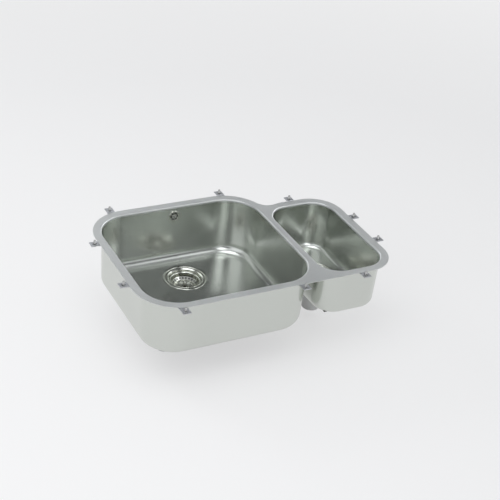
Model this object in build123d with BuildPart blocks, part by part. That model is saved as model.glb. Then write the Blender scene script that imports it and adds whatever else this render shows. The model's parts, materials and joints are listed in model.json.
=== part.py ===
# Undermount kitchen sink: a large and a small pressed steel bowl under one flange.
# Each bowl has a basket strainer waste, and the large bowl's back wall has an overflow.
# The origin is on the flange's top face, in the middle of the bridge between the bowls.
# +X points to the small bowl, +Y to the back wall and +Z up, out of the bowls.

import os
from math import atan, cos, degrees, pi, radians, sin, tan
from build123d import *

os.makedirs("parts", exist_ok=True)

# Driving sizes of the steel shell, in millimetres
sheet = 1
main_width = 430
main_length = 410
main_depth = 155
main_corner = 87
main_blend = 25
half_width = 176
half_length = 326
half_depth = 132
half_corner = 58
half_blend = 18
bridge = 20
wall_draft = 4
flange_width = 22
flange_step_radius = 36
mouth_radius = 4
lip_depth = 6

# Places of the wastes and of the overflow
waste_shift = 7
main_waste_back = 103
half_waste_shift = 22
overflow_drop = 28
overflow_shift = 5

# Seat of a strainer in a bowl's floor
recess_depth = 3
recess_gap = 2
waste_hole_radius = 45
floor_fall = 3.4
fall_margin = 2

# Strainer cup
cup_flange_radius = 56
cup_sheet = 0.8
gasket_thickness = 1.5
gasket_inner_gap = 0.4
gasket_inset = 1.5
outer_bead_width = 4.4
outer_bead_rise = 1.4
flat_ring_width = 4.2
inner_bead_width = 1.6
inner_bead_rise = 0.7
funnel_drop = 1.7
cup_mouth_radius = 42.2
ledge_depth = 5
ledge_radius = 38.8
cup_foot_radius = 37
cup_depth = 39
drain_hole_count = 8
drain_hole_radius = 5
drain_ring_radius = 22

# Basket, its knob, stopper and nut
basket_sheet = 0.8
basket_gap = 0.4
basket_seat_gap = 0.3
rim_inner_radius = 37.4
rim_rise = 0.7
basket_wall_radius = 36.6
basket_knee_radius = 35.2
basket_knee_depth = 15
basket_floor_radius = 28
basket_floor_depth = 21
basket_hole_radius = 2
outer_hole_count = 24
outer_hole_ring = 31.6
middle_hole_count = 18
middle_hole_ring = 23.5
inner_hole_count = 12
inner_hole_ring = 15.5
knob_radius = 5.2
knob_lift = 9
knob_neck_radius = 3
collar_radius = 7
saucer_radius = 17
saucer_rise = 2.8
saucer_rim_rise = 5
saucer_wall = 1.2
stem_radius = 2.5
stem_gap = 0.1
stem_tail = 1
hub_radius = 12
hub_length = 7.5
skirt_radius = 33
skirt_wall = 3
skirt_height = 2.7
skirt_slope_top = 28
skirt_inner_top_radius = 10
skirt_roof_wall = 1.4
stopper_seat_gap = 0.3
nut_height = 4
nut_flats = 8

# Fixing screw of a waste
screw_radius = 3
screw_length = 20
screw_head_radius = 6
screw_head_height = 3.5
screw_slot_width = 1.4
screw_slot_depth = 1.6
thread_gap = 0.05

# Seal and plastic body under a bowl
seal_thickness = 3
seal_inner_radius = 46
body_flange_radius = 54
body_flange_height = 4
body_wall = 3
body_bore_radius = 46
body_foot_radius = 44
body_cup_depth = 40
body_cone_depth = 60
body_length = 98
outlet_thread_radius = 23.9
outlet_bore_radius = 19.5
outlet_chamfer = 1.2
boss_radius = 7
boss_length = 22
rib_count = 3
rib_width = 3
rib_top_depth = 46
rib_height = 13

# Spigots and hose of the overflow
spigot_radius = 9.5
spigot_bore_radius = 7
spigot_length = 24
spigot_drop = 25
hose_end_gap = 1
hose_root_radius = 11
hose_crest_radius = 12.5
hose_bend_radius = 42
rib_pitch = 4.6
rib_shares = (0, 0.22, 0.5, 0.72)
cuff_length = 25

# Overflow behind the large bowl's back wall
overflow_hole_radius = 11.5
rosette_radius = 15.5
rosette_thickness = 1.6
rosette_dish = 0.7
rosette_ring_width = 2.6
rosette_slot_count = 6
rosette_slot_inner = 6.4
rosette_slot_outer = 11
rosette_slot_wall = 2.4
overflow_screw_radius = 2
overflow_screw_head_radius = 3.8
overflow_screw_head_height = 1.6
overflow_screw_length = 20
overflow_gasket_thickness = 2
overflow_gasket_inner = 13
overflow_flange_radius = 19
overflow_flange_height = 3
overflow_barrel_length = 24
overflow_barrel_wall = 2.5
overflow_boss_radius = 4.5
overflow_boss_gap = 5

# Band clips on the hose
band_width = 9
band_thickness = 0.8
band_inset = 6
housing_length = 13
housing_depth = 6.4
clip_screw_radius = 2
clip_screw_head = 3.4
clip_screw_head_length = 3.6

# Clips and screws under the worktop
clip_width = 20
clip_thickness = 2
clip_reach = 14
clip_foot = 22
clip_gap = 1
clip_joggle = 1.2
clip_slot_length = 12
clip_slot_width = 6.6
clip_slot_place = 11
clip_stud_radius = 3
clip_stud_stand = 10
clip_neck_radius = 2.4
clip_neck_rise = 0.6
clip_head_radius = 6
clip_head_height = 4
clip_socket_radius = 2.6
clip_socket_depth = 2.4
main_clip_spread = 155
side_clip_spread = 95
half_clip_spread = 60

# Damping pads under the floors
pad_thickness = 3
pad_margin = 6
pad_corner = 20
pad_waste_gap = 4
half_pad_height = 60

# Overrun of every cut
over = 1

# Places that follow from the sizes
main_x = -(bridge + main_width) / 2
half_x = (bridge + half_width) / 2
half_y = (half_length - main_length) / 2
front_y = -main_length / 2
main_waste_x = main_x + waste_shift
main_waste_y = main_length / 2 - main_waste_back
half_waste_y = half_y + half_waste_shift
draft_angle = degrees(atan(wall_draft / (main_depth - lip_depth)))
draft_slope = tan(radians(draft_angle))
main_middle = Plane(origin=(main_x, 0, 0))
half_middle = Plane(origin=(half_x, half_y, 0))
main_seat = Plane(origin=(main_waste_x, main_waste_y, -main_depth - recess_depth))
half_seat = Plane(origin=(half_x, half_waste_y, -half_depth - recess_depth))
recess_radius = cup_flange_radius + recess_gap
cup_bead_end = cup_flange_radius - outer_bead_width
cup_flat_end = cup_bead_end - flat_ring_width


# Upright plane through a seat's middle, with its own X along the radius
def side_plane(seat):
    return Plane(origin=seat.origin, x_dir=seat.x_dir, z_dir=-seat.y_dir)


# Line that a seat's round pieces turn about
def middle_line(seat):
    return Axis(origin=seat.origin, direction=seat.z_dir)


# One bowl's block, grown sideways and downwards by a skin
def bowl_block(middle, width, length, depth, corner, blend, seat, creased, skin):
    with BuildPart() as block:
        with BuildSketch(middle.offset(-lip_depth)):
            RectangleRounded(width + 2 * skin, length + 2 * skin, corner + skin)
        extrude(amount=-(depth + skin - lip_depth), taper=draft_angle)
        fillet(block.faces().sort_by(Axis.Z)[0].edges(), blend + skin)
        lean = (depth - lip_depth) * draft_slope
        flat_width = width - 2 * (lean + blend + fall_margin)
        flat_length = length - 2 * (lean + blend + fall_margin)
        if creased:
            with BuildSketch(middle.offset(-depth - skin), mode=Mode.PRIVATE) as floor:
                Rectangle(flat_width, flat_length)
            low = seat.origin - Vector(0, 0, floor_fall - recess_depth + skin)
            loft(sections=[floor.sketch.faces()[0], Vertex(low)], ruled=True)
        with BuildSketch(seat.offset(recess_depth + over - skin)):
            Circle(recess_radius + skin)
        extrude(amount=-(recess_depth + over))
    return block.part


# One pressed bowl, with the hole for its strainer
def pressed_bowl(middle, width, length, depth, corner, blend, seat, creased):
    shape = (middle, width, length, depth, corner, blend, seat, creased)
    with BuildPart() as bowl:
        add(bowl_block(*shape, sheet))
        add(bowl_block(*shape, 0), mode=Mode.SUBTRACT)
        with BuildSketch(seat.offset(over)):
            Circle(waste_hole_radius)
        extrude(amount=-(sheet + 2 * over), mode=Mode.SUBTRACT)
    return bowl.part


# Flange plate with a turned-down lip round each mouth
mouths = [
    (main_middle, main_width, main_length, main_corner),
    (half_middle, half_width, half_length, half_corner),
]
with BuildPart() as rim_flange:
    with BuildSketch():
        for middle, width, length, corner in mouths:
            with Locations(middle.origin):
                RectangleRounded(width + 2 * flange_width, length + 2 * flange_width, corner + flange_width)
        with Locations(((main_x + half_x) / 2, front_y - flange_width)):
            Rectangle(half_x - main_x, half_length, align=(Align.CENTER, Align.MIN))
        offset(amount=flange_step_radius)
        offset(amount=-flange_step_radius)
    extrude(amount=-sheet)
    for middle, width, length, corner in mouths:
        with BuildSketch(middle):
            RectangleRounded(width + 2 * sheet, length + 2 * sheet, corner + sheet)
        extrude(amount=-lip_depth)
    for middle, width, length, corner in mouths:
        with BuildSketch(middle):
            RectangleRounded(width, length, corner)
        extrude(amount=-lip_depth, mode=Mode.SUBTRACT)
    underside = rim_flange.faces().filter_by(Axis.Z).group_by(Axis.Z)[1][0]
    fillet([edge for wire in underside.inner_wires() for edge in wire.edges()], mouth_radius - sheet)
    topside = rim_flange.faces().filter_by(Axis.Z).sort_by(Axis.Z)[-1]
    fillet([edge for wire in topside.inner_wires() for edge in wire.edges()], mouth_radius)
rim_flange.part.label = "rim_flange"
export_step(rim_flange.part, "parts/rim_flange.step")

main_bowl = pressed_bowl(
    main_middle, main_width, main_length, main_depth, main_corner, main_blend, main_seat, False
)
half_bowl = pressed_bowl(
    half_middle, half_width, half_length, half_depth, half_corner, half_blend, half_seat, True
)


# Overflow plane: on the inside of the large bowl's back wall, facing into the bowl; the hose heads for it
wall_y = main_length / 2 - (overflow_drop - lip_depth) * draft_slope
wall_out = Vector(0, -cos(radians(draft_angle)), sin(radians(draft_angle)))
overflow_middle = (main_waste_x + overflow_shift, wall_y, -overflow_drop)
overflow_plane = Plane(origin=overflow_middle, x_dir=(1, 0, 0), z_dir=wall_out)
body_front = overflow_plane.offset(-sheet - overflow_gasket_thickness)
barrel_middle = body_front.offset(-(overflow_flange_height + overflow_barrel_length) / 2).origin
hose_reach = Vector(barrel_middle.X - main_waste_x, barrel_middle.Y - main_waste_y, 0)
hose_heading = hose_reach.normalized()
hose_across = Vector(hose_heading.Y, -hose_heading.X, 0)
with BuildPart() as main_shell:
    add(main_bowl)
    with BuildSketch(overflow_plane.offset(over)):
        Circle(overflow_hole_radius)
    extrude(amount=-(sheet + 2 * over), mode=Mode.SUBTRACT)
main_shell.part.label = "main_bowl"
export_step(main_shell.part, "parts/main_bowl.step")
half_bowl.label = "half_bowl"
export_step(half_bowl, "parts/half_bowl.step")


# Polished cup of a strainer: a flange with two raised rings and a funnel with a ledge
def strainer_cup(seat):
    flange_top = gasket_thickness + cup_sheet
    lip_outer = cup_mouth_radius + inner_bead_width
    lip_top = flange_top - funnel_drop
    with BuildPart() as cup:
        with BuildSketch(side_plane(seat)):
            with BuildLine():
                Line((cup_flange_radius, gasket_thickness), (cup_flange_radius, flange_top))
                ThreePointArc(
                    (cup_flange_radius, flange_top),
                    (cup_flange_radius - outer_bead_width / 2, flange_top + outer_bead_rise),
                    (cup_bead_end, flange_top),
                )
                Polyline((cup_bead_end, flange_top), (cup_flat_end, flange_top), (lip_outer, lip_top))
                ThreePointArc(
                    (lip_outer, lip_top),
                    (lip_outer - inner_bead_width / 2, lip_top + inner_bead_rise),
                    (cup_mouth_radius, lip_top),
                )
                Polyline(
                    (cup_mouth_radius, lip_top),
                    (cup_mouth_radius, -ledge_depth),
                    (ledge_radius, -ledge_depth),
                    (cup_foot_radius, -cup_depth),
                    (screw_radius + thread_gap, -cup_depth),
                    (screw_radius + thread_gap, -cup_depth - cup_sheet),
                    (cup_foot_radius + cup_sheet, -cup_depth - cup_sheet),
                    (ledge_radius + cup_sheet, -ledge_depth - cup_sheet),
                    (lip_outer, -ledge_depth - cup_sheet),
                    (lip_outer, lip_top - cup_sheet),
                    (cup_flat_end, gasket_thickness),
                    (cup_flange_radius, gasket_thickness),
                )
            make_face()
        revolve(axis=middle_line(seat))
        with BuildSketch(seat.offset(over - cup_depth)):
            with PolarLocations(drain_ring_radius, drain_hole_count):
                Circle(drain_hole_radius)
        extrude(amount=-(cup_sheet + 2 * over), mode=Mode.SUBTRACT)
    return cup.part


# Flat ring whose top lies at a level above the seat
def flat_ring(seat, top, thickness, outer_radius, inner_radius):
    with BuildPart() as ring:
        with BuildSketch(seat.offset(top)):
            Circle(outer_radius)
            Circle(inner_radius, mode=Mode.SUBTRACT)
        extrude(amount=-thickness)
    return ring.part


# Perforated basket: a rolled rim, a steep wall, a holed slope and a holed floor
def strainer_basket(seat):
    rim_outer = cup_mouth_radius - basket_gap
    rim_under = basket_seat_gap - ledge_depth
    rim_top = rim_under + basket_sheet
    stem_hole = stem_radius + stem_gap
    with BuildPart() as basket:
        with BuildSketch(side_plane(seat)):
            with BuildLine():
                ThreePointArc(
                    (rim_outer, rim_top),
                    ((rim_outer + rim_inner_radius) / 2, rim_top + rim_rise),
                    (rim_inner_radius, rim_top),
                )
                Polyline(
                    (rim_inner_radius, rim_top),
                    (basket_wall_radius, rim_under),
                    (basket_knee_radius, -basket_knee_depth),
                    (basket_floor_radius, -basket_floor_depth),
                    (stem_hole, -basket_floor_depth),
                    (stem_hole, -basket_floor_depth - basket_sheet),
                    (basket_floor_radius + basket_sheet / 2, -basket_floor_depth - basket_sheet),
                    (basket_knee_radius + basket_sheet, -basket_knee_depth - basket_sheet / 2),
                    (basket_wall_radius + basket_sheet, rim_under),
                    (rim_outer, rim_under),
                    (rim_outer, rim_top),
                )
            make_face()
        revolve(axis=middle_line(seat))
        with BuildSketch(seat.offset(-basket_knee_depth)):
            with PolarLocations(outer_hole_ring, outer_hole_count):
                Circle(basket_hole_radius)
            with PolarLocations(middle_hole_ring, middle_hole_count):
                Circle(basket_hole_radius)
            with PolarLocations(inner_hole_ring, inner_hole_count):
                Circle(basket_hole_radius)
        extrude(amount=-(basket_floor_depth - basket_knee_depth + basket_sheet + over), mode=Mode.SUBTRACT)
    return basket.part


# Ball knob on a dished saucer, with the stem that goes down through the basket and the stopper
def basket_knob(seat):
    stem_length = basket_sheet + hub_length + nut_height + stem_tail
    saucer_foot = -basket_floor_depth
    saucer_top = saucer_foot + saucer_rise
    rim_top = saucer_foot + saucer_rim_rise
    ball_middle = saucer_foot + knob_lift
    with BuildPart() as knob:
        with BuildSketch(side_plane(seat)):
            with BuildLine():
                Polyline(
                    (0, saucer_foot),
                    (collar_radius, saucer_foot),
                    (collar_radius, saucer_top - saucer_wall),
                    (saucer_radius - saucer_wall, rim_top - saucer_wall),
                    (saucer_radius, rim_top - saucer_wall / 2),
                    (saucer_radius, rim_top),
                    (saucer_radius - saucer_wall / 2, rim_top),
                    (collar_radius, saucer_top),
                    (knob_neck_radius, saucer_top),
                    (knob_neck_radius, ball_middle),
                    (0, ball_middle),
                    close=True,
                )
            make_face()
        revolve(axis=middle_line(seat))
        with Locations(seat.offset(ball_middle)):
            Sphere(knob_radius)
        with BuildSketch(seat.offset(saucer_foot)):
            Circle(stem_radius)
        extrude(amount=-stem_length)
    return knob.part


# Rubber stopper: a hub under the basket and a bell whose skirt covers the drain holes
def basket_stopper(seat):
    hub_top = -basket_floor_depth - basket_sheet
    hub_under = hub_top - hub_length
    skirt_foot = stopper_seat_gap - cup_depth
    skirt_top = skirt_foot + skirt_height
    skirt_inner = skirt_radius - skirt_wall
    stem_hole = stem_radius + stem_gap
    with BuildPart() as stopper:
        with BuildSketch(side_plane(seat)):
            with BuildLine():
                Polyline(
                    (stem_hole, hub_top),
                    (hub_radius, hub_top),
                    (hub_radius, -skirt_slope_top),
                    (skirt_radius, skirt_top),
                    (skirt_radius, skirt_foot),
                    (skirt_inner, skirt_foot),
                    (skirt_inner, skirt_top - skirt_roof_wall / 2),
                    (skirt_inner_top_radius, hub_under),
                    (stem_hole, hub_under),
                    close=True,
                )
            make_face()
        revolve(axis=middle_line(seat))
    return stopper.part


# Hexagon nut under the stopper's hub
def basket_nut(seat):
    with BuildPart() as nut:
        with BuildSketch(seat.offset(-basket_floor_depth - basket_sheet - hub_length)):
            RegularPolygon(radius=nut_flats / 2, side_count=6, major_radius=False)
            Circle(stem_radius + thread_gap, mode=Mode.SUBTRACT)
        extrude(amount=-nut_height)
    return nut.part


# Long screw whose head lies in the cup and whose shank pulls the body up
def fixing_screw(seat):
    with BuildPart() as screw:
        with BuildSketch(seat.offset(-cup_depth)):
            Circle(screw_head_radius)
        extrude(amount=screw_head_height)
        fillet(screw.faces().sort_by(Axis.Z)[-1].edges(), screw_slot_depth / 2)
        with BuildSketch(seat.offset(screw_head_height - cup_depth)):
            Rectangle(2 * screw_head_radius, screw_slot_width)
        extrude(amount=-screw_slot_depth, mode=Mode.SUBTRACT)
        with BuildSketch(seat.offset(-cup_depth)):
            Circle(screw_radius)
        extrude(amount=-(cup_sheet + screw_length))
    return screw.part


# Outside of a waste body, filled, from its flange to the end of its threaded outlet
def body_outside(seat):
    top = -sheet - seal_thickness
    with BuildPart() as block:
        with BuildSketch(side_plane(seat)):
            with BuildLine():
                Polyline(
                    (0, top),
                    (body_flange_radius, top),
                    (body_flange_radius, top - body_flange_height),
                    (body_bore_radius + body_wall, top - body_flange_height),
                    (body_foot_radius + body_wall, -body_cup_depth - body_wall / 2),
                    (outlet_thread_radius, -body_cone_depth - body_wall),
                    (outlet_thread_radius, outlet_chamfer - body_length),
                    (outlet_thread_radius - outlet_chamfer, -body_length),
                    (0, -body_length),
                    close=True,
                )
            make_face()
        revolve(axis=middle_line(seat))
    return block.part


# Plastic body of a waste: cup, cone, outlet, screw boss on ribs and, on request, a side spigot
def waste_body(seat, with_spigot):
    outside = body_outside(seat)
    boss_top = -cup_depth - cup_sheet
    with BuildPart() as ribs:
        with BuildSketch(seat.offset(-rib_top_depth)):
            with PolarLocations(0, rib_count):
                Rectangle(body_bore_radius, rib_width, align=(Align.MIN, Align.CENTER))
        extrude(amount=-rib_height)
        add(outside, mode=Mode.INTERSECT)
        with BuildSketch(seat.offset(boss_top)):
            Circle(boss_radius)
        extrude(amount=-boss_length)
    with BuildPart() as body:
        add(outside)
        if with_spigot:
            side = Plane(
                origin=seat.offset(-spigot_drop).origin, x_dir=hose_across, z_dir=hose_heading
            )
            with BuildSketch(side.offset(body_foot_radius)):
                Circle(spigot_radius)
            extrude(amount=body_wall + spigot_length)
            with BuildSketch(side.offset(body_foot_radius - over)):
                Circle(spigot_bore_radius)
            extrude(amount=body_wall + spigot_length + 2 * over, mode=Mode.SUBTRACT)
        with BuildSketch(side_plane(seat)):
            with BuildLine():
                Polyline(
                    (0, 0),
                    (body_bore_radius, 0),
                    (body_bore_radius, -sheet - seal_thickness),
                    (body_foot_radius, -body_cup_depth),
                    (outlet_bore_radius, -body_cone_depth),
                    (outlet_bore_radius, -body_length - over),
                    (0, -body_length - over),
                    close=True,
                )
            make_face()
        revolve(axis=middle_line(seat), mode=Mode.SUBTRACT)
        add(ribs.part)
        with BuildSketch(seat.offset(boss_top + over)):
            Circle(screw_radius + thread_gap)
        extrude(amount=-(boss_length + 2 * over), mode=Mode.SUBTRACT)
    return body.part


# Both wastes, piece by piece
for side, seat in (("main", main_seat), ("half", half_seat)):
    pieces = {
        "strainer_cup": strainer_cup(seat),
        "flange_gasket": flat_ring(
            seat,
            gasket_thickness,
            gasket_thickness,
            cup_flange_radius - gasket_inset,
            cup_flat_end + gasket_inner_gap,
        ),
        "body_seal": flat_ring(seat, -sheet, seal_thickness, body_flange_radius, seal_inner_radius),
        "waste_body": waste_body(seat, side == "main"),
        "fixing_screw": fixing_screw(seat),
        "basket": strainer_basket(seat),
        "basket_knob": basket_knob(seat),
        "basket_stopper": basket_stopper(seat),
        "basket_nut": basket_nut(seat),
    }
    for name, piece in pieces.items():
        piece.label = side + "_" + name
        export_step(piece, "parts/" + piece.label + ".step")


# Slotted steel cover of the overflow, dished inside its outer ring
slot_ring = (rosette_slot_inner + rosette_slot_outer) / 2
slot_sweep = 360 / rosette_slot_count - degrees(rosette_slot_wall / slot_ring)
with BuildPart() as rosette:
    with BuildSketch(overflow_plane):
        Circle(rosette_radius)
    extrude(amount=rosette_thickness)
    front = rosette.faces().filter_by(Axis(origin=(0, 0, 0), direction=wall_out)).sort_by(Axis.Y)[0]
    chamfer(front.edges(), rosette_dish)
    with BuildSketch(overflow_plane.offset(rosette_thickness)):
        Circle(rosette_radius - rosette_ring_width)
    extrude(amount=-rosette_dish, mode=Mode.SUBTRACT)
    with BuildSketch(overflow_plane.offset(rosette_thickness)):
        Circle(overflow_screw_radius + thread_gap)
        with PolarLocations(0, rosette_slot_count):
            with Locations((slot_ring, 0)):
                Rectangle(
                    rosette_slot_outer - rosette_slot_inner,
                    2 * slot_ring * sin(radians(slot_sweep / 2)),
                )
    extrude(amount=-(rosette_thickness + over), mode=Mode.SUBTRACT)
rosette.part.label = "overflow_rosette"
export_step(rosette.part, "parts/overflow_rosette.step")

# Centre screw of the overflow
screw_seat = overflow_plane.offset(rosette_thickness - rosette_dish)
with BuildPart() as overflow_screw:
    with BuildSketch(screw_seat):
        Circle(overflow_screw_head_radius)
    extrude(amount=overflow_screw_head_height)
    with BuildSketch(screw_seat.offset(overflow_screw_head_height)):
        Rectangle(2 * overflow_screw_head_radius, screw_slot_width / 2)
    extrude(amount=-overflow_screw_head_height / 2, mode=Mode.SUBTRACT)
    with BuildSketch(screw_seat):
        Circle(overflow_screw_radius)
    extrude(amount=-overflow_screw_length)
overflow_screw.part.label = "overflow_screw"
export_step(overflow_screw.part, "parts/overflow_screw.step")

# Rubber ring between the wall's back and the overflow body
overflow_gasket = flat_ring(
    overflow_plane, -sheet, overflow_gasket_thickness, overflow_flange_radius, overflow_gasket_inner
)
overflow_gasket.label = "overflow_gasket"
export_step(overflow_gasket, "parts/overflow_gasket.step")

# Overflow body: a flange, a closed barrel with a screw boss, and a spigot that points down
barrel_radius = overflow_hole_radius + overflow_barrel_wall
spigot_plane = Plane(origin=barrel_middle, x_dir=(1, 0, 0), z_dir=(0, 0, -1))
boss_start = body_front.offset(-overflow_boss_gap)
with BuildPart() as overflow_body:
    with BuildSketch(body_front):
        Circle(overflow_flange_radius)
    extrude(amount=-overflow_flange_height)
    with BuildSketch(body_front):
        Circle(barrel_radius)
    extrude(amount=-overflow_barrel_length)
    with BuildSketch(spigot_plane):
        Circle(spigot_radius)
    extrude(amount=barrel_radius + spigot_length)
    with BuildSketch(spigot_plane):
        Circle(spigot_bore_radius)
    extrude(amount=barrel_radius + spigot_length + over, mode=Mode.SUBTRACT)
    with BuildSketch(body_front.offset(over)):
        Circle(overflow_hole_radius)
    extrude(amount=-(overflow_barrel_length - overflow_barrel_wall + over), mode=Mode.SUBTRACT)
    with BuildSketch(boss_start):
        Circle(overflow_boss_radius)
    extrude(amount=overflow_boss_gap - overflow_barrel_length)
    with BuildSketch(boss_start.offset(over)):
        Circle(overflow_screw_radius + thread_gap)
    extrude(amount=-(overflow_screw_length + over), mode=Mode.SUBTRACT)
overflow_body.part.label = "overflow_body"
export_step(overflow_body.part, "parts/overflow_body.step")

# Route of the hose: level out of the waste body, round one bend and up to the overflow body
hose_level = main_seat.offset(-spigot_drop).origin
hose_start = hose_level + hose_heading * (body_bore_radius + body_wall + hose_end_gap)
hose_rise = Vector(0, 0, 1)
hose_turn = hose_level + hose_reach - hose_heading * hose_bend_radius + hose_rise * hose_bend_radius
hose_top = barrel_middle.Z - overflow_flange_radius - hose_end_gap
level_run = (hose_turn - hose_start).dot(hose_heading)
bend_run = hose_bend_radius * pi / 2
hose_run = level_run + bend_run + hose_top - hose_turn.Z


# Plane across the hose at a distance along its route
def hose_plane(distance):
    if distance <= level_run:
        return Plane(origin=hose_start + hose_heading * distance, x_dir=hose_across, z_dir=hose_heading)
    if distance <= level_run + bend_run:
        turn = (distance - level_run) / hose_bend_radius
        outward = hose_heading * sin(turn) - hose_rise * cos(turn)
        forward = hose_heading * cos(turn) + hose_rise * sin(turn)
        return Plane(origin=hose_turn + outward * hose_bend_radius, x_dir=hose_across, z_dir=forward)
    risen = hose_rise * (distance - level_run - bend_run)
    corner = hose_turn + hose_heading * hose_bend_radius
    return Plane(origin=corner + risen, x_dir=hose_across, z_dir=hose_rise)


# Ribbed hose with smooth cuffs and a round bore
rib_total = int((hose_run - 2 * cuff_length) / rib_pitch)
rib_step = (hose_run - 2 * cuff_length) / rib_total
rib_radii = (hose_root_radius, hose_crest_radius, hose_crest_radius, hose_root_radius)
hose_rings = [(0, hose_root_radius)]
for rib in range(rib_total):
    rib_start = cuff_length + rib * rib_step
    for along_share, radius in zip(rib_shares, rib_radii):
        hose_rings.append((rib_start + along_share * rib_step, radius))
hose_rings.append((hose_run, hose_root_radius))
with BuildPart() as overflow_hose:
    for distance, radius in hose_rings:
        with BuildSketch(hose_plane(distance)):
            Circle(radius)
    loft(ruled=True)
    with BuildLine() as route:
        start = hose_plane(0).origin
        turn_start = hose_plane(level_run).origin
        turn_end = hose_plane(level_run + bend_run).origin
        finish = hose_plane(hose_run).origin
        Line(start, turn_start)
        ThreePointArc(turn_start, hose_plane(level_run + bend_run / 2).origin, turn_end)
        Line(turn_end, finish)
    with BuildSketch(hose_plane(0)):
        Circle(spigot_radius)
    sweep(path=route.wire(), mode=Mode.SUBTRACT)
overflow_hose.part.label = "overflow_hose"
export_step(overflow_hose.part, "parts/overflow_hose.step")

# Band clips on both cuffs, each with a housing for its screw
band_outer = hose_root_radius + band_thickness
housing_middle = band_outer + housing_depth / 2
band_starts = (band_inset, hose_run - band_inset - band_width)
with BuildPart() as hose_clips:
    for band_start in band_starts:
        band_plane = hose_plane(band_start)
        with BuildSketch(band_plane):
            Circle(band_outer)
            with Locations((housing_middle - band_thickness / 2, 0)):
                Rectangle(housing_depth + band_thickness, housing_length)
            Circle(hose_root_radius + thread_gap, mode=Mode.SUBTRACT)
        extrude(amount=band_width)
        across = Plane(
            origin=band_plane.offset(band_width / 2).origin + hose_across * housing_middle,
            x_dir=hose_across,
            z_dir=band_plane.y_dir,
        )
        with BuildSketch(across):
            Circle(clip_screw_radius + thread_gap)
        extrude(amount=housing_length, both=True, mode=Mode.SUBTRACT)
hose_clips.part.label = "hose_clips"
export_step(hose_clips.part, "parts/hose_clips.step")

# Screws of the band clips, with slotted heads
with BuildPart() as hose_clip_screws:
    for band_start in band_starts:
        band_plane = hose_plane(band_start)
        across = Plane(
            origin=band_plane.offset(band_width / 2).origin + hose_across * housing_middle,
            x_dir=hose_across,
            z_dir=band_plane.y_dir,
        )
        with BuildSketch(across.offset(-housing_length / 2)):
            Circle(clip_screw_radius)
        extrude(amount=housing_length)
        with BuildSketch(across.offset(housing_length / 2)):
            RegularPolygon(radius=clip_screw_head, side_count=6)
        extrude(amount=clip_screw_head_length)
        with BuildSketch(across.offset(housing_length / 2 + clip_screw_head_length)):
            Rectangle(2 * clip_screw_head, screw_slot_width / 2)
        extrude(amount=-clip_screw_head_length / 2, mode=Mode.SUBTRACT)
hose_clip_screws.part.label = "hose_clip_screws"
export_step(hose_clip_screws.part, "parts/hose_clip_screws.step")

# Where the fixing clips sit along the flange's edge, and which way each one points
main_edge = main_length / 2 + flange_width
half_back_edge = half_y + half_length / 2 + flange_width
left_edge = main_x - main_width / 2 - flange_width
right_edge = half_x + half_width / 2 + flange_width
clip_places = [
    (main_x - main_clip_spread, -main_edge, -90),
    (main_x + main_clip_spread, -main_edge, -90),
    (half_x, -main_edge, -90),
    (main_x - main_clip_spread, main_edge, 90),
    (main_x + main_clip_spread, main_edge, 90),
    (half_x, half_back_edge, 90),
    (left_edge, -side_clip_spread, 180),
    (left_edge, side_clip_spread, 180),
    (right_edge, half_y - half_clip_spread, 0),
    (right_edge, half_y + half_clip_spread, 0),
]

# One joggled clip: its foot lies against the worktop and its toe under the flange
with BuildPart() as clip:
    with BuildSketch(Plane.XZ):
        with BuildLine():
            Polyline(
                (clip_foot, 0),
                (clip_gap + clip_joggle, 0),
                (clip_gap, -sheet),
                (-clip_reach, -sheet),
                (-clip_reach, -sheet - clip_thickness),
                (clip_gap + clip_joggle / 2, -sheet - clip_thickness),
                (clip_gap + 2 * clip_joggle, -clip_thickness),
                (clip_foot, -clip_thickness),
                close=True,
            )
        make_face()
    extrude(amount=clip_width / 2, both=True)
    with BuildSketch():
        with Locations((clip_slot_place, 0)):
            SlotOverall(clip_slot_length, clip_slot_width)
    extrude(amount=-(clip_thickness + over), mode=Mode.SUBTRACT)

# One clip screw: a round head with a hexagon socket, a neck through the clip, and a stud above it
with BuildPart() as clip_screw:
    with BuildSketch(Plane.XY.offset(-clip_thickness - clip_head_height)):
        with Locations((clip_slot_place, 0)):
            Circle(clip_head_radius)
    extrude(amount=clip_head_height)
    chamfer(clip_screw.faces().sort_by(Axis.Z)[0].edges(), clip_head_height / 4)
    with BuildSketch(Plane.XY.offset(-clip_thickness - clip_head_height)):
        with Locations((clip_slot_place, 0)):
            RegularPolygon(radius=clip_socket_radius, side_count=6)
    extrude(amount=clip_socket_depth, mode=Mode.SUBTRACT)
    with BuildSketch(Plane.XY.offset(-clip_thickness)):
        with Locations((clip_slot_place, 0)):
            Circle(clip_neck_radius)
    extrude(amount=clip_thickness + clip_neck_rise)
    with BuildSketch(Plane.XY.offset(clip_neck_rise)):
        with Locations((clip_slot_place, 0)):
            Circle(clip_stud_radius)
    extrude(amount=clip_stud_stand - clip_neck_rise)
    chamfer(clip_screw.faces().sort_by(Axis.Z)[-1].edges(), clip_stud_radius / 4)

with BuildPart() as fixing_clips:
    for x, y, turn in clip_places:
        with Locations(Location((x, y, 0), (0, 0, turn))):
            add(clip.part)
fixing_clips.part.label = "fixing_clips"
export_step(fixing_clips.part, "parts/fixing_clips.step")

with BuildPart() as clip_screws:
    for x, y, turn in clip_places:
        with Locations(Location((x, y, 0), (0, 0, turn))):
            add(clip_screw.part)
clip_screws.part.label = "clip_screws"
export_step(clip_screws.part, "parts/clip_screws.step")

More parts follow.
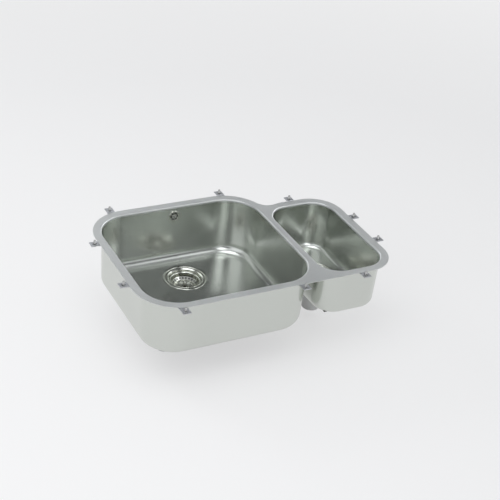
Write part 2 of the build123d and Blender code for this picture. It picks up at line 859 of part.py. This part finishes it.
# Damping pad under the large bowl's floor, with a hole round its waste
main_lean = (main_depth - lip_depth) * draft_slope
pad_inset = main_lean + main_blend + pad_margin
with BuildPart() as main_sound_pad:
    with BuildSketch(main_middle.offset(-main_depth - sheet)):
        RectangleRounded(main_width - 2 * pad_inset, main_length - 2 * pad_inset, pad_corner)
        with Locations((waste_shift, main_waste_y)):
            Circle(recess_radius + sheet + pad_waste_gap, mode=Mode.SUBTRACT)
    extrude(amount=-pad_thickness)
main_sound_pad.part.label = "main_sound_pad"
export_step(main_sound_pad.part, "parts/main_sound_pad.step")

# Damping pad on the outside of the small bowl's right wall
pad_middle_depth = half_depth / 2
half_wall_x = half_x + half_width / 2 + sheet - (pad_middle_depth - lip_depth) * draft_slope
half_wall = Plane(
    origin=(half_wall_x, half_y, -pad_middle_depth),
    x_dir=(0, 1, 0),
    z_dir=(cos(radians(draft_angle)), 0, -sin(radians(draft_angle))),
)
with BuildPart() as half_sound_pad:
    with BuildSketch(half_wall):
        RectangleRounded(half_length - 2 * half_corner - 2 * pad_margin, half_pad_height, pad_corner / 2)
    extrude(amount=pad_thickness)
half_sound_pad.part.label = "half_sound_pad"
export_step(half_sound_pad.part, "parts/half_sound_pad.step")

print("hose: route", round(hose_run, 1), "mm,", rib_total, "ribs, bend radius", hose_bend_radius)
print("hose volume", round(overflow_hose.part.volume), "mm3, plain tube",
      round(pi * (hose_root_radius**2 - spigot_radius**2) * hose_run), "mm3")
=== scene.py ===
# Undermount kitchen sink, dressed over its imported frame. All lengths are in metres.
import bpy
import json
from math import cos, radians, sin
from mathutils import Matrix, Vector


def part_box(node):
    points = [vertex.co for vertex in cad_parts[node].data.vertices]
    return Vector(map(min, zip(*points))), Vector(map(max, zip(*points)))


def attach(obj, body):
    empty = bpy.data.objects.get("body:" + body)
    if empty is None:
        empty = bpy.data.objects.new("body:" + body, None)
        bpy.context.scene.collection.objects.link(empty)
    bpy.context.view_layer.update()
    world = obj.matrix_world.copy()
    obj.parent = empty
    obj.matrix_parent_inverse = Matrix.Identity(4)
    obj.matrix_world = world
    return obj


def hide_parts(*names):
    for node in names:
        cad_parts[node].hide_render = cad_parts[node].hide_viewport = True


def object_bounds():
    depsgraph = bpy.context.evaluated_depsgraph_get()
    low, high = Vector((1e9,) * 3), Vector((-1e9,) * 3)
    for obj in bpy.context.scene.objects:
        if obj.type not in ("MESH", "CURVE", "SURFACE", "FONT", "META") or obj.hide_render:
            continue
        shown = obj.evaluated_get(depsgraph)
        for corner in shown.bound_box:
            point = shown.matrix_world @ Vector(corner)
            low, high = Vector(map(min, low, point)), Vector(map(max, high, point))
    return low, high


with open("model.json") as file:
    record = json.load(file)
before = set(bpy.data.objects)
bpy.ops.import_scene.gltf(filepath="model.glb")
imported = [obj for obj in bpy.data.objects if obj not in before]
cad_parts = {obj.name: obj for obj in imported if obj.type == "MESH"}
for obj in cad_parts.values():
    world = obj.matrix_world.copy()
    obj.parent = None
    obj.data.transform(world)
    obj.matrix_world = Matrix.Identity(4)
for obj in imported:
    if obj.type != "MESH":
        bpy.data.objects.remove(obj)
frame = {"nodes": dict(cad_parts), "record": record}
bpy.ops.object.select_all(action="DESELECT")
cadBox = [list(corner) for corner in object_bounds()]
millimetre = 0.001
print("frame loaded:", len(frame["nodes"]), "nodes")


# Small helpers for node trees
def startMaterial(name):
    material = bpy.data.materials.new(name)
    material.use_nodes = True
    nodes = material.node_tree.nodes
    shader = nodes["Principled BSDF"]
    return material, nodes, material.node_tree.links, shader


def feed(links, value, socket):
    if isinstance(value, bpy.types.NodeSocket):
        links.new(value, socket)
    else:
        socket.default_value = value


def objectPattern(nodes, links, scale, detail=2):
    place = nodes.new("ShaderNodeTexCoord")
    stretch = nodes.new("ShaderNodeMapping")
    stretch.inputs["Scale"].default_value = scale
    pattern = nodes.new("ShaderNodeTexNoise")
    pattern.inputs["Scale"].default_value = 1
    pattern.inputs["Detail"].default_value = detail
    links.new(place.outputs["Object"], stretch.inputs["Vector"])
    links.new(stretch.outputs["Vector"], pattern.inputs["Vector"])
    return pattern.outputs["Fac"]


def rangeOf(nodes, links, source, low, high, fromLow=0.3, fromHigh=0.7):
    remap = nodes.new("ShaderNodeMapRange")
    remap.inputs["From Min"].default_value = fromLow
    remap.inputs["From Max"].default_value = fromHigh
    remap.inputs["To Min"].default_value = low
    remap.inputs["To Max"].default_value = high
    links.new(source, remap.inputs["Value"])
    return remap.outputs["Result"]


def calculate(nodes, links, operation, first, second=0):
    step = nodes.new("ShaderNodeMath")
    step.operation = operation
    feed(links, first, step.inputs[0])
    feed(links, second, step.inputs[1])
    return step.outputs["Value"]


def mixOf(nodes, links, factor, first, second):
    mix = nodes.new("ShaderNodeMix")
    links.new(factor, mix.inputs["Factor"])
    feed(links, first, mix.inputs["A"])
    feed(links, second, mix.inputs["B"])
    return mix.outputs["Result"]


# A Mix node's colour sockets share their names with its number sockets, so they go by their place
def toneOf(nodes, links, factor, first, second):
    colourA, colourB, colourResult = 6, 7, 2
    mix = nodes.new("ShaderNodeMix")
    mix.data_type = "RGBA"
    mix.inputs[colourA].default_value = (*first, 1)
    mix.inputs[colourB].default_value = (*second, 1)
    links.new(factor, mix.inputs["Factor"])
    return mix.outputs[colourResult]


# Tone and bump from the grain, and roughness from the cloud
def dressShader(nodes, links, shader, look, grain, cloud, bumpDepth):
    tone = toneOf(nodes, links, rangeOf(nodes, links, grain, 0, 1), look["dark"], look["light"])
    links.new(tone, shader.inputs["Base Color"])
    links.new(rangeOf(nodes, links, cloud, *look["roughness"]), shader.inputs["Roughness"])
    bump = nodes.new("ShaderNodeBump")
    bump.inputs["Strength"].default_value = look["bump"]
    bump.inputs["Distance"].default_value = bumpDepth
    links.new(grain, bump.inputs["Height"])
    links.new(bump.outputs["Normal"], shader.inputs["Normal"])


# Steel of any finish: its brushing runs level round a wall and along X on a level face
brushing = {
    "cloudDetail": 3,
    "levelFrom": 0.6,
    "levelTo": 0.95,
    "bumpDepth": 0.0001,
    "levelTangent": (0.02, 0, 0),
}


def steel(name, look):
    material, nodes, links, shader = startMaterial(name)
    shader.inputs["Metallic"].default_value = 1
    shader.inputs["Anisotropic"].default_value = look["anisotropic"]
    grain = objectPattern(nodes, links, look["grainScale"])
    if "levelScale" in look:
        facing = nodes.new("ShaderNodeNewGeometry")
        slope = nodes.new("ShaderNodeSeparateXYZ")
        links.new(facing.outputs["Normal"], slope.inputs["Vector"])
        upright = calculate(nodes, links, "ABSOLUTE", slope.outputs["Z"])
        level = rangeOf(nodes, links, upright, 0, 1, brushing["levelFrom"], brushing["levelTo"])
        grain = mixOf(nodes, links, level, grain, objectPattern(nodes, links, look["levelScale"]))
    cloud = objectPattern(nodes, links, (look["cloudScale"],) * 3, brushing["cloudDetail"])
    dressShader(nodes, links, shader, look, grain, cloud, brushing["bumpDepth"])
    if look["anisotropic"] > 0:
        surface = nodes.new("ShaderNodeNewGeometry")
        around = nodes.new("ShaderNodeVectorMath")
        around.operation = "CROSS_PRODUCT"
        around.inputs[1].default_value = (0, 0, 1)
        tangent = nodes.new("ShaderNodeVectorMath")
        tangent.inputs[1].default_value = brushing["levelTangent"]
        links.new(surface.outputs["Normal"], around.inputs[0])
        links.new(around.outputs["Vector"], tangent.inputs[0])
        links.new(tangent.outputs["Vector"], shader.inputs["Tangent"])
    return material


# Rubber and moulded plastic: a fine skin texture and a slightly uneven tone
moulding = {"bumpDepth": 0.0002}


def moulded(name, look):
    material, nodes, links, shader = startMaterial(name)
    skin = objectPattern(nodes, links, (look["skinScale"],) * 3)
    dressShader(nodes, links, shader, look, skin, skin, moulding["bumpDepth"])
    return material


bowlSteel = steel("bowlSteel", {
    "dark": (0.60, 0.62, 0.585),
    "light": (0.635, 0.655, 0.62),
    "roughness": (0.205, 0.265),
    "grainScale": (60, 60, 2200),
    "levelScale": (60, 2200, 60),
    "cloudScale": 9,
    "anisotropic": 0.3,
    "bump": 0.01,
})
flangeSteel = steel("flangeSteel", {
    "dark": (0.64, 0.655, 0.64),
    "light": (0.69, 0.70, 0.69),
    "roughness": (0.42, 0.50),
    "grainScale": (60, 1800, 60),
    "cloudScale": 11,
    "anisotropic": 0.0,
    "bump": 0.03,
})
polishedSteel = steel("polishedSteel", {
    "dark": (0.58, 0.59, 0.54),
    "light": (0.64, 0.65, 0.595),
    "roughness": (0.10, 0.16),
    "grainScale": (400, 400, 400),
    "cloudScale": 30,
    "anisotropic": 0.0,
    "bump": 0.03,
})
# Knob steel: its base colour is set well below the other steel, a painted dark reflection that stands in for
# the surroundings mirrored in the knob's dished plate
knobSteel = steel("knobSteel", {
    "dark": (0.34, 0.345, 0.315),
    "light": (0.40, 0.405, 0.37),
    "roughness": (0.06, 0.10),
    "grainScale": (500, 500, 500),
    "cloudScale": 60,
    "anisotropic": 0.0,
    "bump": 0.02,
})
screwSteel = steel("screwSteel", {
    "dark": (0.50, 0.50, 0.49),
    "light": (0.58, 0.58, 0.56),
    "roughness": (0.28, 0.36),
    "grainScale": (900, 900, 900),
    "cloudScale": 60,
    "anisotropic": 0.0,
    "bump": 0.1,
})
clipSteel = steel("clipSteel", {
    "dark": (0.50, 0.51, 0.52),
    "light": (0.60, 0.61, 0.63),
    "roughness": (0.30, 0.45),
    "grainScale": (300, 300, 300),
    "cloudScale": 80,
    "anisotropic": 0.0,
    "bump": 0.1,
})
blackRubber = moulded("blackRubber", {
    "dark": (0.018, 0.018, 0.02),
    "light": (0.03, 0.03, 0.032),
    "roughness": (0.5, 0.65),
    "skinScale": 700,
    "bump": 0.15,
})
padSheet = moulded("padSheet", {
    "dark": (0.10, 0.105, 0.11),
    "light": (0.14, 0.145, 0.15),
    "roughness": (0.6, 0.8),
    "skinScale": 320,
    "bump": 0.4,
})
whitePlastic = moulded("whitePlastic", {
    "dark": (0.70, 0.70, 0.68),
    "light": (0.76, 0.76, 0.74),
    "roughness": (0.32, 0.42),
    "skinScale": 500,
    "bump": 0.08,
})
hosePlastic = moulded("hosePlastic", {
    "dark": (0.58, 0.59, 0.60),
    "light": (0.66, 0.67, 0.68),
    "roughness": (0.38, 0.5),
    "skinScale": 400,
    "bump": 0.08,
})

finishes = {
    "bowl_steel": bowlSteel,
    "flange_steel": flangeSteel,
    "polished_steel": polishedSteel,
    "basket_steel": polishedSteel,
    "screw_steel": screwSteel,
    "clip_steel": clipSteel,
    "black_rubber": blackRubber,
    "pad_rubber": padSheet,
    "white_plastic": whitePlastic,
    "hose_plastic": hosePlastic,
}
# The basket knobs take the darker knob steel, whose low base colour is painted dark reflection
paintedDarkFinish = {
    "main_basket_knob": knobSteel,
    "half_basket_knob": knobSteel,
}
slotOfNode = {part["node"]: part["material_slot"] for part in frame["record"]["subparts"]}
for nodeName, node in frame["nodes"].items():
    for materialSlot in node.material_slots:
        materialSlot.material = paintedDarkFinish.get(nodeName, finishes[slotOfNode[nodeName]])
print("CAD nodes finished")


# Small helpers for modelling
def deselectAll():
    if bpy.context.mode != "OBJECT":
        bpy.ops.object.mode_set(mode="OBJECT")
    bpy.ops.object.select_all(action="DESELECT")


def activate(piece):
    piece.select_set(True)
    bpy.context.view_layer.objects.active = piece


def grow(along, widen=1.0):
    bpy.ops.mesh.extrude_region_move(TRANSFORM_OT_translate={"value": along})
    if widen != 1.0:
        bpy.ops.transform.resize(value=(1, widen, widen))


# Overflow hose: ribs with rounded crests, modelled straight and then laid along its bend
hose = {
    "segments": 40,
    "root": 0.0110,
    "crest": 0.0125,
    "wall": 0.0013,
    "cuff": 0.025,
    "bend": 0.042,
    "start": 0.050,
    "ribs": 29,
    "ribShape": [  # step along as a share of a rib's length, and the share of its height reached there
        (0.16, 0.0),
        (0.10, 0.55),
        (0.12, 0.95),
        (0.12, 1.0),
        (0.12, 0.95),
        (0.10, 0.55),
        (0.28, 0.0),
    ],
    "handleShare": 0.5523,  # of the bend's radius, which makes one Bezier span a quarter circle
    "routeSteps": 32,
    "smoothUnder": 50,
}


# Start, turn and end of the hose's route, each place with the direction of the route there
def hoseRoute():
    low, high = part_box("overflow_hose")
    wasteLow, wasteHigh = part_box("main_strainer_cup")
    overflowLow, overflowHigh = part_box("overflow_body")
    levelZ = low[2] + hose["crest"]
    waste = Vector(((wasteLow[0] + wasteHigh[0]) / 2, (wasteLow[1] + wasteHigh[1]) / 2, levelZ))
    barrel = Vector(((overflowLow[0] + overflowHigh[0]) / 2, high[1] - hose["crest"], levelZ))
    ahead = (barrel - waste).normalized()
    upward = Vector((0, 0, 1))
    return [
        (waste + ahead * hose["start"], ahead),
        (barrel - ahead * hose["bend"], ahead),
        (barrel + upward * hose["bend"], upward),
        (Vector((barrel.x, barrel.y, high[2])), upward),
    ]


def straightHose(length):
    step = (length - 2 * hose["cuff"]) / hose["ribs"]
    crestRise = hose["crest"] - hose["root"]
    deselectAll()
    bpy.ops.mesh.primitive_circle_add(
        vertices=hose["segments"], radius=hose["root"], location=(0, 0, 0), rotation=(0, radians(90), 0)
    )
    tube = bpy.context.object
    tube.name = "overflowHose"
    bpy.ops.object.transform_apply(rotation=True)
    bpy.ops.object.mode_set(mode="EDIT")
    bpy.ops.mesh.select_all(action="SELECT")
    grow((hose["cuff"], 0, 0))
    radius = hose["root"]
    for _ in range(hose["ribs"]):
        for alongShare, heightShare in hose["ribShape"]:
            wanted = hose["root"] + crestRise * heightShare
            grow((alongShare * step, 0, 0), wanted / radius)
            radius = wanted
    grow((hose["cuff"], 0, 0))
    bpy.ops.mesh.select_all(action="SELECT")
    bpy.ops.mesh.normals_make_consistent(inside=False)
    bpy.ops.object.mode_set(mode="OBJECT")
    bpy.ops.object.modifier_add(type="SOLIDIFY")
    tube.modifiers["Solidify"].thickness = hose["wall"]
    tube.modifiers["Solidify"].offset = -1
    bpy.ops.object.modifier_apply(modifier="Solidify")
    return tube


def layAlong(tube, route):
    deselectAll()
    bpy.ops.curve.primitive_bezier_curve_add(location=(0, 0, 0))
    curve = bpy.context.object
    spline = curve.data.splines[0]
    spline.bezier_points.add(len(route) - len(spline.bezier_points))
    for point, (place, direction) in zip(spline.bezier_points, route):
        reach = direction * hose["handleShare"] * hose["bend"]
        point.handle_left_type = "FREE"
        point.handle_right_type = "FREE"
        point.co = place
        point.handle_left = place - reach
        point.handle_right = place + reach
    curve.data.dimensions = "3D"
    curve.data.resolution_u = hose["routeSteps"]
    deselectAll()
    activate(tube)
    bpy.ops.object.modifier_add(type="CURVE")
    tube.modifiers["Curve"].object = curve
    bpy.ops.object.modifier_apply(modifier="Curve")
    bpy.data.objects.remove(curve)


def buildHose():
    route = hoseRoute()
    start, turnStart, turnEnd, finish = [place for place, _ in route]
    straights = (turnStart - start).length + (finish - turnEnd).length
    tube = straightHose(straights + hose["bend"] * radians(90))
    layAlong(tube, route)
    bpy.ops.object.shade_smooth_by_angle(angle=radians(hose["smoothUnder"]))
    tube.data.materials.append(hosePlastic)
    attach(tube, "sink")
    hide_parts("overflow_hose")
    print("overflow hose built")


buildHose()


# Copy of a CAD piece, merged, with its threaded shanks narrowed from crest to root
def narrowedCopy(nodeName, name, shanks, thread):
    deselectAll()
    piece = bpy.data.objects.new(name, frame["nodes"][nodeName].data.copy())
    bpy.context.collection.objects.link(piece)
    activate(piece)
    bpy.ops.mesh.customdata_custom_splitnormals_clear()
    bpy.ops.object.mode_set(mode="EDIT")
    bpy.ops.mesh.select_all(action="SELECT")
    bpy.ops.mesh.remove_doubles(threshold=thread["mergeWithin"])
    bpy.ops.object.mode_set(mode="OBJECT")
    for x, y, low, high in shanks:
        for vertex in piece.data.vertices:
            fromAxis = Vector((vertex.co.x - x, vertex.co.y - y))
            onShank = abs(fromAxis.length - thread["radius"]) < thread["reach"]
            if onShank and low - thread["reach"] < vertex.co.z < high + thread["reach"]:
                narrowed = fromAxis * ((thread["radius"] - thread["rise"]) / fromAxis.length)
                vertex.co.x = x + narrowed.x
                vertex.co.y = y + narrowed.y
    return piece


# One ridge of diamond section, wound up round the Z axis with its inner half sunk into the shank
def woundRidge(thread):
    deselectAll()
    bpy.ops.mesh.primitive_circle_add(
        vertices=4, radius=1, location=(0, 0, 0), rotation=(radians(90), 0, 0)
    )
    ridge = bpy.context.object
    bpy.ops.object.transform_apply(rotation=True)
    bpy.ops.object.mode_set(mode="EDIT")
    bpy.ops.mesh.select_all(action="SELECT")
    bpy.ops.transform.resize(value=(thread["rise"], 1, thread["flankShare"] * thread["pitch"]))
    bpy.ops.transform.translate(value=(thread["radius"] - thread["rise"], 0, 0))
    bpy.ops.object.mode_set(mode="OBJECT")
    bpy.ops.object.modifier_add(type="SCREW")
    winding = ridge.modifiers["Screw"]
    winding.screw_offset = thread["pitch"]
    winding.iterations = thread["turns"]
    winding.steps = thread["steps"]
    winding.render_steps = thread["steps"]
    bpy.ops.object.modifier_apply(modifier="Screw")
    bpy.ops.object.mode_set(mode="EDIT")
    bpy.ops.mesh.select_all(action="SELECT")
    bpy.ops.mesh.fill_holes(sides=4)
    bpy.ops.mesh.normals_make_consistent(inside=False)
    bpy.ops.object.mode_set(mode="OBJECT")
    return ridge


# Threaded piece: ridges on a narrowed copy of its solid, out to the solid's own size
def buildThreaded(nodeName, name, shanks, thread):
    piece = narrowedCopy(nodeName, name, shanks, thread)
    ridge = woundRidge(thread)
    copies = []
    for x, y, low, _ in shanks:
        copy = bpy.data.objects.new(name, ridge.data.copy())
        copy.data.transform(Matrix.Translation((x, y, low + thread["pitch"] / 2)))
        bpy.context.collection.objects.link(copy)
        copies.append(copy)
    bpy.data.objects.remove(ridge)
    deselectAll()
    for copy in copies:
        copy.select_set(True)
    activate(piece)
    bpy.ops.object.join()
    bpy.ops.object.shade_smooth_by_angle(angle=radians(thread["smoothUnder"]))
    piece.data.materials.clear()
    piece.data.materials.append(finishes[slotOfNode[nodeName]])
    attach(piece, "sink")
    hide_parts(nodeName)
    print(name, "built")


anyThread = {
    "flankShare": 0.46,
    "reach": 0.0001,
    "mergeWithin": 0.000001,
    "smoothUnder": 40,
}
outletThread = {
    **anyThread,
    "radius": 0.0239,
    "rise": 0.0007,
    "pitch": 0.00231,
    "turns": 13,
    "steps": 48,
}
studThread = {
    **anyThread,
    "radius": 0.003,
    "rise": 0.00035,
    "pitch": 0.001,
    "turns": 8,
    "steps": 16,
    "foot": 0.0006,
    "top": 0.01,
}
mounts = {mount["name"]: mount for mount in frame["record"]["mounts"]}
for side in ("main", "half"):
    outlet = mounts[side + "_outlet"]
    x, y, middle = outlet["pos_m"]
    halfLength = outlet["dims"]["length_mm"] * millimetre / 2
    shank = (x, y, middle - halfLength, middle + halfLength)
    buildThreaded(side + "_waste_body", side + "WasteBody", [shank], outletThread)
studs = []
for pattern in ("main_clip_studs", "half_clip_studs", "left_clip_studs", "right_clip_studs"):
    x, y, _ = mounts[pattern]["pos_m"]
    apartX = mounts[pattern]["dims"].get("spacing_x_mm", 0) * millimetre
    apartY = mounts[pattern]["dims"]["spacing_y_mm"] * millimetre
    for alongX in sorted({-apartX / 2, apartX / 2}):
        for alongY in (-apartY / 2, apartY / 2):
            studs.append((x + alongX, y + alongY, studThread["foot"], studThread["top"]))
buildThreaded("clip_screws", "clipScrews", studs, studThread)

# Camera at the photograph's viewing place
view = {
    "place": (-1.32755, -2.1184, 1.44615),
    "pitch": 31.12,
    "yaw": 30.22,
    "roll": 6.45,
    "lens": 81.86,
    "sensor": 36,
}
bpy.ops.object.camera_add()
camera = bpy.context.object
camera.data.lens = view["lens"]
camera.data.sensor_width = view["sensor"]
camera.matrix_world = (
    Matrix.Translation(view["place"])
    @ Matrix.Rotation(radians(-view["yaw"]), 4, "Z")
    @ Matrix.Rotation(radians(90 - view["pitch"]), 4, "X")
    @ Matrix.Rotation(radians(view["roll"]), 4, "Z")
)
bpy.context.scene.camera = camera

# Studio: a pale floor, a white world with soft glows in a dim ceiling, and three lamps
studio = {
    "floorSize": 30,
    "floorTone": (0.90, 0.90, 0.91),
    "floorRoughness": 0.9,
    "floorVeil": 0.55,
    "fadeFrom": 1.6,
    "fadeTo": 6.0,
    "worldTone": (0.95, 0.97, 1.0),
    "cameraTone": (1, 1, 1),
    "worldStrength": 0.5,
    "horizonRise": 0.28,
    "ceilingRise": 0.46,
    "ceilingStrength": 0.49,
    "ceilingLeast": 0.05,
    "glowCoreShare": 0.35,
    "glows": [  # azimuth from +Y towards +X, height, half width and strength; below zero it dims
        (-53, 83, 22, 2.97),
        (-170, 48, 17, 2.58),
        (-113, 32, 32, 0.72),
        (0, 24, 22, 3.0),
        (72, 27, 23, 2.99),
        (123, 45, 18, 1.86),
        (1, 60, 47, -0.58),
        (147, 41, 15, -0.73),
        (-151, 27, 20, -0.86),
    ],
    "lampAim": (-0.1, 0, -0.1),
    "lamps": [
        {"name": "overheadLamp", "place": (-0.65, -0.6, 1.9), "size": (1.6, 1.4), "power": 12},
        {"name": "keyLamp", "place": (-1.8, -0.85, 1.32), "size": (1.1, 1.1), "power": 8},
        {"name": "backLamp", "place": (-1.45, 1.49, 1.31), "size": (0.9, 0.7), "power": 7},
    ],
}


# Floor under the lower outlet, veiled in white to the camera and to mirroring surfaces
def buildFloor():
    bpy.ops.mesh.primitive_plane_add(size=studio["floorSize"], location=(0, 0, cadBox[0][2]))
    floor = bpy.context.object
    floor.name = "studioFloor"
    bpy.ops.object.transform_apply(location=True)
    material, nodes, links, shader = startMaterial("studioFloor")
    shader.inputs["Base Color"].default_value = (*studio["floorTone"], 1)
    shader.inputs["Roughness"].default_value = studio["floorRoughness"]
    rays = nodes.new("ShaderNodeLightPath")
    shown = calculate(nodes, links, "MAXIMUM", rays.outputs["Is Camera Ray"], rays.outputs["Is Glossy Ray"])
    place = nodes.new("ShaderNodeTexCoord")
    away = nodes.new("ShaderNodeVectorMath")
    away.operation = "LENGTH"
    links.new(place.outputs["Object"], away.inputs[0])
    faded = rangeOf(
        nodes, links, away.outputs["Value"], studio["floorVeil"], 1, studio["fadeFrom"], studio["fadeTo"]
    )
    white = nodes.new("ShaderNodeEmission")
    veiled = nodes.new("ShaderNodeMixShader")
    links.new(calculate(nodes, links, "MULTIPLY", shown, faded), veiled.inputs["Fac"])
    links.new(shader.outputs["BSDF"], veiled.inputs[1])
    links.new(white.outputs["Emission"], veiled.inputs[2])
    links.new(veiled.outputs["Shader"], nodes["Material Output"].inputs["Surface"])
    floor.data.materials.append(material)


# World: white to the camera; reflections show the white backdrop up to the dim studio ceiling
def buildWorld():
    world = bpy.data.worlds.new("studioWorld")
    bpy.context.scene.world = world
    world.use_nodes = True
    nodes = world.node_tree.nodes
    links = world.node_tree.links
    background = nodes["Background"]
    rays = nodes.new("ShaderNodeLightPath")
    direction = nodes.new("ShaderNodeTexCoord")
    height = nodes.new("ShaderNodeSeparateXYZ")
    links.new(direction.outputs["Generated"], height.inputs["Vector"])
    ceiling = studio["ceilingStrength"]
    for azimuth, rise, width, strength in studio["glows"]:
        towards = nodes.new("ShaderNodeVectorMath")
        towards.operation = "DOT_PRODUCT"
        towards.inputs[1].default_value = (
            sin(radians(azimuth)) * cos(radians(rise)),
            cos(radians(azimuth)) * cos(radians(rise)),
            sin(radians(rise)),
        )
        links.new(direction.outputs["Generated"], towards.inputs[0])
        edge = cos(radians(width))
        core = cos(radians(studio["glowCoreShare"] * width))
        glow = rangeOf(nodes, links, towards.outputs["Value"], 0, strength, edge, core)
        glow.node.interpolation_type = "SMOOTHSTEP"
        ceiling = calculate(nodes, links, "ADD", glow, ceiling)
    ceiling = calculate(nodes, links, "MAXIMUM", ceiling, studio["ceilingLeast"])
    raised = rangeOf(nodes, links, height.outputs["Z"], 0, 1, studio["horizonRise"], studio["ceilingRise"])
    mirrored = mixOf(nodes, links, raised, 1, ceiling)
    lighting = mixOf(nodes, links, rays.outputs["Is Glossy Ray"], studio["worldStrength"], mirrored)
    links.new(mixOf(nodes, links, rays.outputs["Is Camera Ray"], lighting, 1), background.inputs["Strength"])
    tone = toneOf(nodes, links, rays.outputs["Is Camera Ray"], studio["worldTone"], studio["cameraTone"])
    links.new(tone, background.inputs["Color"])


buildFloor()
buildWorld()
for lamp in studio["lamps"]:
    bpy.ops.object.light_add(type="AREA", location=lamp["place"])
    light = bpy.context.object
    light.name = lamp["name"]
    light.data.shape = "RECTANGLE"
    light.data.size, light.data.size_y = lamp["size"]
    light.data.energy = lamp["power"]
    light.visible_glossy = False  # the sky's glows stand for it in the steel
    aim = Vector(studio["lampAim"]) - Vector(lamp["place"])
    light.rotation_euler = aim.to_track_quat("-Z", "Y").to_euler()
print("studio ready")

bpy.context.scene.view_settings.view_transform = "Standard"
